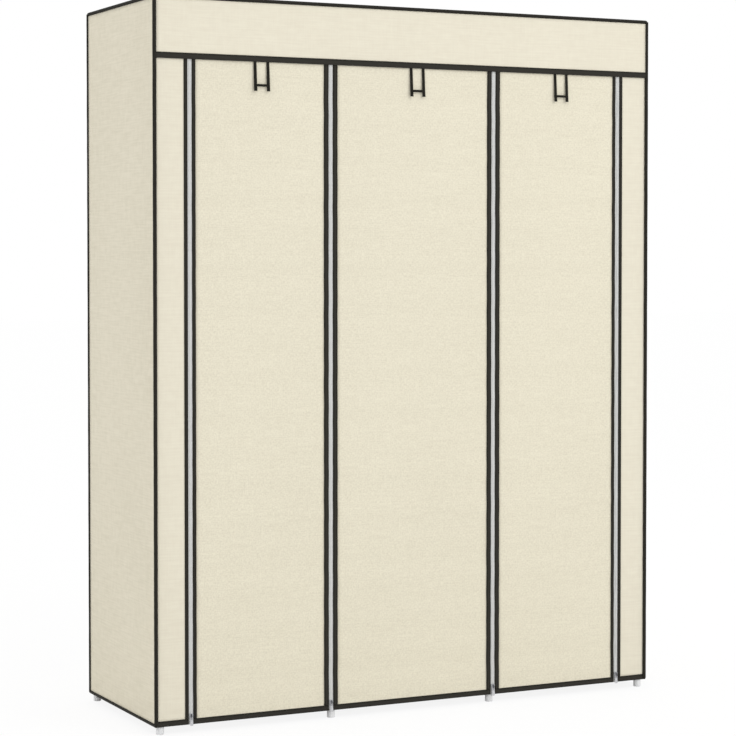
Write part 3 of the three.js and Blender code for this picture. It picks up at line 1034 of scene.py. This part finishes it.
def seam_outline(width, cloth_back):
    """Two flat tapes sewn together over a seam, with cloth running in from both sides."""
    near = tape_face(width)
    face = near + [(width - along, height) for along, height in near[:-1]][::-1]
    back = [(along, -height) for along, height in face][::-1]
    low, high = slot_faces(cloth_back)
    depth = width * seam_slot_share
    near_slot = [(0, low), (depth, low), (depth, high), (0, high)]
    far_slot = [(width - along, height) for along, height in near_slot[::-1]]
    return np.array(face + far_slot + back + near_slot)


def binding(name, ends, into_fold, outward, width, cloth_back, seam=False, swing=None,
            slot_share=slot_depth_share):
    """A run of binding between its ends, along its lip. Its width goes into_fold and its face outward, and
    swing says how far the points along it stand out."""
    if seam:
        outline = seam_outline(width, cloth_back)
        # from_edge sets where the tape's painted edge shade gives way to its paler middle.
        from_edge = np.minimum(outline[:, 0], width - outline[:, 0])
    else:
        outline = folded_outline(width, cloth_back, slot_share)
        from_edge = outline[:, 0]
    path = steps_between(*ends, binding_spacing if swing is None else swing_spacing)
    if swing is not None:
        path = path + swing(path)[:, None] * np.asarray(outward, float)
    return swept(name, path, outline, into_fold, outward, from_edge=from_edge)


def front_binding(name, places, into_fold, width, **sewing):
    """A run of binding in the plane of the doors, between two places (across, up)."""
    ends = [(x, hem_middle_y, z) for x, z in places]
    return binding(name, ends, into_fold, to_front, width, front_cloth_back, **sewing)


side_hem_height = side_low.z - part_gap - piping_low.z
side_hem_lip = piping_low.z + side_hem_height
for side, turn in (("left", -1), ("right", 1)):
    x = middle(f"{side}_side_panel")[0] + turn * wall_cloth_back
    ends = (x, ring_y["front"], side_hem_lip), (x, ring_y["back"], side_hem_lip)
    hem = binding(f"{side}_side_hem", ends, down, (turn, 0, 0), side_hem_height, wall_cloth_back)
    trim(hem)

back_hem_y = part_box("back_panel")[0].y + hem_thickness / 2
ends = (-ring_x, back_hem_y, hem_lip), (ring_x, back_hem_y, hem_lip)
back_hem = trim(binding("back_hem", ends, down, (0, 1, 0), hem_height, wall_cloth_back))

zip_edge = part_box("zip_4")[1].x + part_gap
tape_width = strip_low.x - part_gap - zip_edge
for side, turn in (("left", -1), ("right", 1)):
    places = (turn * zip_edge, hem_lip), (turn * ring_x, hem_lip)
    foot = front_binding(f"{side}_strip_hem", places, down, hem_height)
    x = turn * (zip_edge + tape_width)
    places = (x, hem_lip + part_gap), (x, ring_z)
    edge = front_binding(f"{side}_strip_tape", places, (-turn, 0, 0), tape_width, seam=True)
    trim(foot)
    trim(edge)

valance_low, valance_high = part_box("valance")
tie_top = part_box("left_roll_tie")[1].z + part_gap
valance_hem_height = valance_low.z - part_gap - tie_top
valance_hem_y = valance_high.y - hem_thickness / 2
valance_lip = tie_top + valance_hem_height
ends = (-ring_x, valance_hem_y, valance_lip), (ring_x, valance_hem_y, valance_lip)
valance_hem = trim(binding("valance_hem", ends, down, to_front, valance_hem_height, wall_cloth_back))

declare(roof)
for side in ("left", "right"):
    declare(walls[side])
declare(back_wall)
declare(valance)
for side in ("left", "right"):
    declare(strips[side])

# The roll-up doors
# Each door is a panel of the cover's cloth with black tape down both sides and across its top, and a folded
# hem at its foot. When its zips are open it is rolled up from the foot.
door_cream = paint(240, 234, 213)
door_cream_dull = paint(224, 217, 196)
door_grain = 0.64
door_reaches = (slot_reach, slot_reach, slot_reach)
door_spacing = (0.012, 0.006)
deep_slot_share = 0.93
pleat_depth = 0.0012
pleat_pitch = 0.083
pleat_fade = 0.07
pleat_waves = ((1.0, 0.0, 1.0), (0.63, 1.9, 0.35), (1.7, 0.6, 0.2))
pleat_range = 3.1
crease_depth = 0.0003
crease_pitch = 0.21
crease_leans = (0.2, 0.5)
crease_side_fade = 0.05
crease_end_fade = 0.1
door_foot, door_top = [corner.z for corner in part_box("left_door_binding")]
door_finish = make_finish("door_cloth", cloth_gloss, cream_cloth(door_cream, door_cream_dull, door_grain))


def pleats(height):
    """How far a door stands out at a height: shallow level waves inward."""
    wave = waves(2 * math.pi * height / pleat_pitch, pleat_waves)
    ends = fade(height - door_foot, valance_lip - door_foot, pleat_fade)
    return -pleat_depth * (0.5 + wave / pleat_range) * ends


def door_swing(path):
    """How far the points along a door's edge stand out."""
    return pleats(path[:, 2])


def gather(piece, door):
    """Gives a soft piece of a door its own copy of its mesh."""
    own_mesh(piece)


for door in ("left", "centre", "right"):
    panel_low, panel_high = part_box(f"{door}_door_panel")
    edge_low, edge_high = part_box(f"{door}_door_binding")
    hem_low, hem_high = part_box(f"{door}_door_hem")
    turns = np.random.default_rng(ord(door[0]))
    lean, phase = turns.uniform(*crease_leans), turns.uniform(0, 2 * math.pi)

    def door_swell(u, v, width, height):
        """The level waves of a door, and the shallow creases that hang down it."""
        creases = crease_depth * (np.sin(2 * math.pi * (u / crease_pitch + lean * v) + phase) - 1)
        held = fade(u, width, crease_side_fade) * fade(v, height, crease_end_fade)
        return pleats(v + panel_low.z - hem_reach) + creases * held

    look = door_spacing, door_finish, door_swell
    cloth = front_sheet(f"{door}_door_cloth", f"{door}_door_panel", door_reaches, *look)

    left_width = panel_low.x - part_gap - edge_low.x
    right_width = edge_high.x - panel_high.x - part_gap
    top_width = edge_high.z - panel_high.z - part_gap
    left_lip, right_lip = edge_low.x + left_width, edge_high.x - right_width
    tapes = []
    for x, turn, side_width in ((left_lip, -1, left_width), (right_lip, 1, right_width)):
        places = (x, edge_low.z), (x, edge_high.z)
        tape = front_binding("side_tape", places, (turn, 0, 0), side_width, seam=True, swing=door_swing)
        tapes.append(tape)
    top_lip = edge_high.z - top_width
    places = (left_lip, top_lip), (right_lip, top_lip)
    tapes.append(front_binding("top_tape", places, (0, 0, 1), top_width))
    edging = trim(joined(f"{door}_door_edging", tapes), f"{door}_door_binding")

    places = (hem_low.x, hem_high.z), (hem_high.x, hem_high.z)
    hem = front_binding(f"{door}_hem", places, down, hem_height, slot_share=deep_slot_share)
    hem = trim(hem, f"{door}_door_hem", body=f"{door}_door")
    declare(cloth)
    gather(cloth, door)
    gather(edging, door)

# The zips
# Grey woven tapes with a coil of plastic teeth down the middle of each pair. One half of every zip is sewn
# to the door beside it; the outer halves of the outer zips are sewn to the strips.
tape_grey = paint(222, 222, 220)
tape_grey_dull = paint(210, 210, 208)
coil_grey = paint(218, 219, 217)
# The second grey is painted shade, laid down between the teeth where they meet the tape.
coil_grey_painted_shade = paint(194, 195, 195)
chevron_width = 0.0008
chevron_pitch = 0.0009
chevron_depth = 0.0002
chevron_strength = 0.35
zip_fuzz = (0.002, 0.006)
zip_fuzz_edges = (0.35, 0.65)
zip_roughness = (0.66, 0.81)
coil_fuzz = (0.002, 0.002)
coil_roughness = (0.38, 0.48)
tape_thickness = 0.0007
tape_slot_reach = 0.0026
tape_notch = 0.007
tape_gap = 0.0002
tape_cord_place = 0.0030
tape_cord_half = 0.0005
tape_cord_rise = 0.0002
coil_reach = 0.0020
coil_overlap = 0.0005
coil_pitch = 0.0020
coil_samples = 4
coil_valley_share = 0.62
coil_shade_share = 0.6
coil_shares = ((-1, 0.0), (-1, 0.45), (-0.6, 0.85), (0.1, 1.0), (0.75, 0.8), (1.0, 0.0))


def zip_weave(start):
    """Close woven tape with a lengthwise rib beside the teeth."""
    across, along = cut_distances(start)
    chevron = start.math("PINGPONG", across, chevron_width)
    rows = start.math("SINE", (along + chevron) * (2 * math.pi / chevron_pitch))
    fuzz = threads(start, zip_fuzz)
    return {
        "Base Color": fuzz.between(*zip_fuzz_edges).tint(tape_grey_dull, tape_grey),
        "Roughness": fuzz.spread(*zip_roughness),
        "Normal": (rows * 0.5 + fuzz).bump(chevron_strength, chevron_depth),
    }


def coil_plastic(start):
    """Drawn grey plastic, with painted shade down between the teeth."""
    fuzz = threads(start, coil_fuzz)
    return {
        "Base Color": edge_map(start).between(0.0, coil_shade_share).tint(coil_grey_painted_shade, coil_grey),
        "Roughness": fuzz.spread(*coil_roughness),
    }


tape_finish = make_finish("zip_tape", {"Specular IOR Level": 0.2}, zip_weave)
coil_finish = make_finish("zip_coil", {"Specular IOR Level": 0.4}, coil_plastic)


def half_tape(name, x, side, low, high, swing):
    """Half of a zip's tape, from its centre line to its edge inside the binding."""
    reach = high.x - (low.x + high.x) / 2 + part_gap + tape_slot_reach
    half = tape_thickness / 2
    top = [(tape_gap, half), (coil_reach, half)]
    for aside, rise in ((-tape_cord_half, 0), (0, tape_cord_rise), (tape_cord_half, 0)):
        top.append((tape_cord_place + aside, half + rise))
    outline = np.array(top + [(reach, half), (reach, -half), (tape_gap, -half)])
    path = steps_between((x, front_cloth_y, low.z), (x, front_cloth_y, high.z), swing_spacing)
    if swing:
        path[:, 1] -= swing(path)
    tape = swept(name, path, outline, (side, 0, 0), to_front)
    widest = (high.x - low.x) / 2
    for point in tape.vertices:
        if point.co.z < low.z + tape_notch:
            point.co.x = x + side * min(side * (point.co.x - x), widest)
    return tape


def half_coil(name, x, side, low, high, swing):
    """Half of a zip's teeth: a ridged bead whose ridges reach between those of the other half."""
    count = int((high.z - low.z) / coil_pitch) * coil_samples
    heights = low.z + np.arange(count) * coil_pitch / coil_samples
    turn = 2 * math.pi * np.arange(count) / coil_samples + (0 if side < 0 else math.pi)
    ridge = 0.5 + 0.5 * np.cos(turn + math.pi / coil_samples)
    base = tape_thickness / 2
    rise = front_cloth_y - door_hem_low.y - base
    spread, lift = np.array(coil_shares).T
    inner = coil_overlap * (2 * ridge - 1)
    path = np.stack([np.full(count, x), np.full(count, front_cloth_y), heights], axis=1)
    out = base + lift * rise * (coil_valley_share + (1 - coil_valley_share) * ridge[:, None])
    grid = np.empty((count, len(lift), 3))
    grid[..., 0] = x + side * (-inner[:, None] + (spread + 1) / 2 * (coil_reach + inner[:, None]))
    grid[..., 1] = front_cloth_y - out - (swing(path)[:, None] if swing else 0)
    grid[..., 2] = heights[:, None]
    # from_edge holds each point's height on the bead, and the low points get the painted shade.
    return sealed(skin(name, grid, closed=True, capped=True, from_edge=lift))


zip_doors = [(None, "left"), ("left", "centre"), ("centre", "right"), ("right", None)]
for i, neighbours in enumerate(zip_doors):
    low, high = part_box(f"zip_{i + 1}")
    x = (low.x + high.x) / 2
    for side, half_name, door in ((-1, "left", neighbours[0]), (1, "right", neighbours[1])):
        run = x, side, low, high, (door_swing if door else None)
        tape = half_tape(f"zip_{i + 1}_{half_name}_tape", *run)
        coil = half_coil(f"zip_{i + 1}_{half_name}_teeth", *run)
        for mesh, finish in ((tape, tape_finish), (coil, coil_finish)):
            piece = mount(mesh, finish, stands_for=[f"zip_{i + 1}"])
            if door:
                gather(piece, door)

# The zip sliders and pulls
# Die-cast and plated: each slider rides over its teeth, and a bridge on its face holds a flat pull that
# hangs down over the foot of the door.
slider_plated = paint(196, 197, 199)
slider_plated_dull = paint(164, 165, 168)
# Painted shadow: the bridge is coloured dark all over, for the shade under the pull's eye.
slider_painted_shadow = paint(80, 80, 84)
pull_plated = paint(214, 214, 216)
pull_plated_dull = paint(188, 188, 191)
plated_roughness = (0.22, 0.42)
rub_size = 0.003
rub_edges = (0.35, 0.65)
rub_depth = 0.0001
rub_strength = 0.1
strap_ease = 0.0002
slider_sections = 13
slider_plate = 0.0012
slider_edge = 0.0005
slider_crown = 0.0001
slider_foot_share = 0.84
slider_end_share = 0.8
slider_thin_share = 0.55
slider_taper = 0.4
slider_squareness = 6
slider_tip_least = 0.02
slider_roof = door_hem_low.y - part_gap
slider_face = slider_roof - slider_plate
bridge_steps = 13
bridge_squareness = (0.6, 0.45)
bridge_width = 0.0024
bridge_thickness = 0.0010
bridge_length = 0.0080
bridge_lift = 0.0020
bridge_root = 0.0005
pull_thickness = 0.0012
pull_bevel = 0.00025
pull_flare = 0.0009
pull_corner = 0.0020
pull_corner_steps = 7
pull_short = 0.0025
pull_neck_share = 0.62
neck_chamfer = 0.001
eye_wall = 0.0016
eye_reach = 0.0077
hole_radius = 0.0011
hole_sides = 12
hole_lift = 0.0016


def plated(bright, dull):
    """The recipe of plated metal with rubbed patches, and a dark painted shadow where the mesh's from_edge
    is 1.
    """

    def recipe(start):
        rubbed = speckle(start, rub_size)
        clean = rubbed.between(*rub_edges).tint(dull, bright)
        return {
            "Base Color": edge_map(start).tint(clean, slider_painted_shadow),
            "Roughness": rubbed.spread(*plated_roughness),
            "Normal": rubbed.bump(rub_strength, rub_depth),
        }

    return recipe


slider_finish = make_finish("plated_slider", {"Metallic": 1.0}, plated(slider_plated, slider_plated_dull))
pull_finish = make_finish("plated_pull", {"Metallic": 1.0}, plated(pull_plated, pull_plated_dull))


def strap_outline(width, thickness):
    """The section of a flat strap, its corners eased."""
    half, thin, ease = width / 2, thickness / 2, strap_ease
    one_side = [(-half, -thin + ease), (-half, thin - ease), (-half + ease, thin), (half - ease, thin)]
    return np.array(one_side + [(-across, -up) for across, up in one_side])


def slider_body(low, high):
    """The slider's plate and cheeks over the teeth, narrower at its lower end."""
    x, z = (low.x + high.x) / 2, (low.z + high.z) / 2
    half, tall = (high.x - low.x) / 2, (high.z - low.z) / 2
    share = np.linspace(-1, 1, slider_sections)
    round_off = np.sqrt(np.clip(1 - np.abs(share) ** slider_squareness, slider_tip_least, 1))
    taper = slider_foot_share + (1 - slider_foot_share) * np.clip(share + slider_taper, 0, 1)
    wide = half * taper * (slider_end_share + (1 - slider_end_share) * round_off)
    coil_half, back = coil_reach + part_gap, high.y
    grid = []
    for up, reach, fullness in zip(share, wide, round_off):
        front = slider_roof - slider_plate * (slider_thin_share + (1 - slider_thin_share) * fullness)
        cheek = [(reach, back), (reach, front + slider_edge), (reach - slider_edge, front)]
        outside = [(-across, y) for across, y in cheek] + [(0, front - slider_crown)] + cheek[::-1]
        inside = [(coil_half, back), (coil_half, slider_roof), (-coil_half, slider_roof), (-coil_half, back)]
        grid.append([(x + across, y, z + up * tall) for across, y in outside + inside])
    return sealed(skin("slider_body", grid, closed=True, capped=True))


def slider_bridge(low, high):
    """The arched bridge that stands on the slider's face, painted dark all over as the shade under the
    pull's eye.
    """
    x, z = (low.x + high.x) / 2, (low.z + high.z) / 2 + bridge_lift
    foot = (bridge_length - bridge_thickness) / 2
    rise = slider_face - low.y - bridge_thickness / 2
    angles = np.linspace(0, math.pi, bridge_steps)
    along = -foot * np.sign(np.cos(angles)) * np.abs(np.cos(angles)) ** bridge_squareness[0]
    out = rise * np.sin(angles) ** bridge_squareness[1]
    out[[0, -1]] = -bridge_root
    path = np.stack([np.full(bridge_steps, x), slider_face - out, z + along], axis=1)
    heading = np.gradient(path, axis=0)
    heading /= np.linalg.norm(heading, axis=1)[:, None]
    outline = strap_outline(bridge_width, bridge_thickness)
    up = np.cross((1.0, 0.0, 0.0), heading)
    # A from_edge of 1 gives the whole bridge the painted shadow.
    return swept("slider_bridge", path, outline, (1, 0, 0), up, from_edge=np.ones(len(outline)))


def pull_plate(name, low, high):
    """A flat tapered pull with an eye at its top and a small hole near its rounded end."""
    drawing = bpy.data.curves.new("pull", "CURVE")
    drawing.dimensions = "2D"
    drawing.fill_mode = "BOTH"
    drawing.extrude = pull_thickness / 2 - pull_bevel
    drawing.bevel_depth = pull_bevel
    drawing.bevel_resolution = 2
    half, length = (high.x - low.x) / 2 - pull_bevel + pull_flare, high.z - low.z - pull_short
    top = (high.z - low.z) / 2 - pull_bevel
    foot = top - length + pull_corner + 2 * pull_bevel
    neck = half * pull_neck_share
    shoulder = [(-neck, top - neck_chamfer), (neck_chamfer - neck, top)]
    outer = shoulder + [(-across, up) for across, up in shoulder[::-1]]
    for side, turns in ((1, (0, -90)), (-1, (-90, -180))):
        for angle in np.radians(np.linspace(*turns, pull_corner_steps)):
            across = side * (half - pull_corner) + pull_corner * math.cos(angle)
            outer.append((across, foot + pull_corner * math.sin(angle)))
    eye_half = bridge_width / 2 + part_gap + pull_bevel
    eye_top, eye_foot = top - eye_wall + 2 * pull_bevel, top - eye_reach
    eye = [(-eye_half, eye_top), (eye_half, eye_top), (eye_half, eye_foot), (-eye_half, eye_foot)]
    hole = circle(hole_radius, hole_sides) + (0, foot + hole_lift)
    for ring in (outer, eye, hole):
        spline = drawing.splines.new("POLY")
        spline.points.add(len(ring) - 1)
        spline.use_cyclic_u = True
        for point, (across, up) in zip(spline.points, ring):
            point.co = (across, up, 0, 1)
    holder = bpy.data.objects.new("pull", drawing)
    bpy.context.scene.collection.objects.link(holder)
    plate = bpy.data.meshes.new_from_object(holder.evaluated_get(bpy.context.evaluated_depsgraph_get()))
    bpy.data.objects.remove(holder)
    plate.name = name
    plate.transform(Matrix.Translation((low + high) / 2) @ Matrix.Rotation(math.pi / 2, 4, "X"))
    return sealed(plate)


for i in range(1, len(zip_doors) + 1):
    low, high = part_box(f"zip_slider_{i}")
    slider = joined(f"slider_{i}", [slider_body(low, high), slider_bridge(low, high)])
    mount(slider, slider_finish, body=f"zip_slider_{i}", stands_for=[f"zip_slider_{i}"])
    pull = pull_plate(f"pull_{i}", *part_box(f"zip_pull_{i}"))
    mount(pull, pull_finish, body=f"zip_pull_{i}", stands_for=[f"zip_pull_{i}"])

# The ties
# Two black ribbons sewn into the valance's hem over each door, joined by a short cross ribbon. They lean a
# little to the right, and hold the door when it is rolled up.
ribbon_width = 0.0068
ribbon_thickness = 0.0009
ribbon_steps = 15
ribbon_root = 0.002
tie_lean = 0.0006
tie_lean_power = 1.3
tie_spread = 0.15
tie_curl = 0.0006
tie_curl_turn = 4.2
tie_stand_off = 0.0035
tie_short = 0.0020
cross_height = 0.0056
cross_drop = 0.0496
cross_spacing = 0.004
cross_lap = 0.6


def hang_out(drop):
    """How far the ribbons stand off the door at a share of their drop."""
    return tie_curl * np.sin(drop * tie_curl_turn) + tie_stand_off * drop ** 2


def lean_right(drop):
    """How far the ribbons lean to the right at a share of their drop."""
    return tie_lean * drop ** tie_lean_power


def ribbon(path, width, side, sizes=None):
    """A ribbon along a path, its width along side and its face to the front."""
    outline = strap_outline(width, ribbon_thickness)
    # from_edge gives the ribbon the tape's painted shade along its edges.
    from_edge = width / 2 - np.abs(outline[:, 0])
    return swept("ribbon", path, outline, side, to_front, from_edge=from_edge, sizes=sizes)


for door in ("left", "centre", "right"):
    low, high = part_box(f"{door}_roll_tie")
    y = (low.y + high.y) / 2
    length = high.z - low.z - tie_short
    drop = np.linspace(0, 1, ribbon_steps)
    ribbon_x = (low.x + ribbon_width / 2, high.x - ribbon_width / 2)
    parts = []
    for x in ribbon_x:
        heights = high.z + ribbon_root - (length + ribbon_root) * drop
        path = np.stack([x + lean_right(drop), y - hang_out(drop), heights], axis=1)
        parts.append(ribbon(path, ribbon_width, (1, 0, 0), sizes=1 + tie_spread * drop))
    cross_z = high.z - cross_drop - cross_height / 2
    cross_share = (high.z - cross_z) / length
    cross_y = y - hang_out(cross_share) - ribbon_thickness * cross_lap
    ends = [(x + lean_right(cross_share), cross_y, cross_z) for x in ribbon_x]
    parts.append(ribbon(steps_between(*ends, cross_spacing), cross_height, (0, 0, 1)))
    trim(joined(f"{door}_tie", parts), f"{door}_roll_tie")
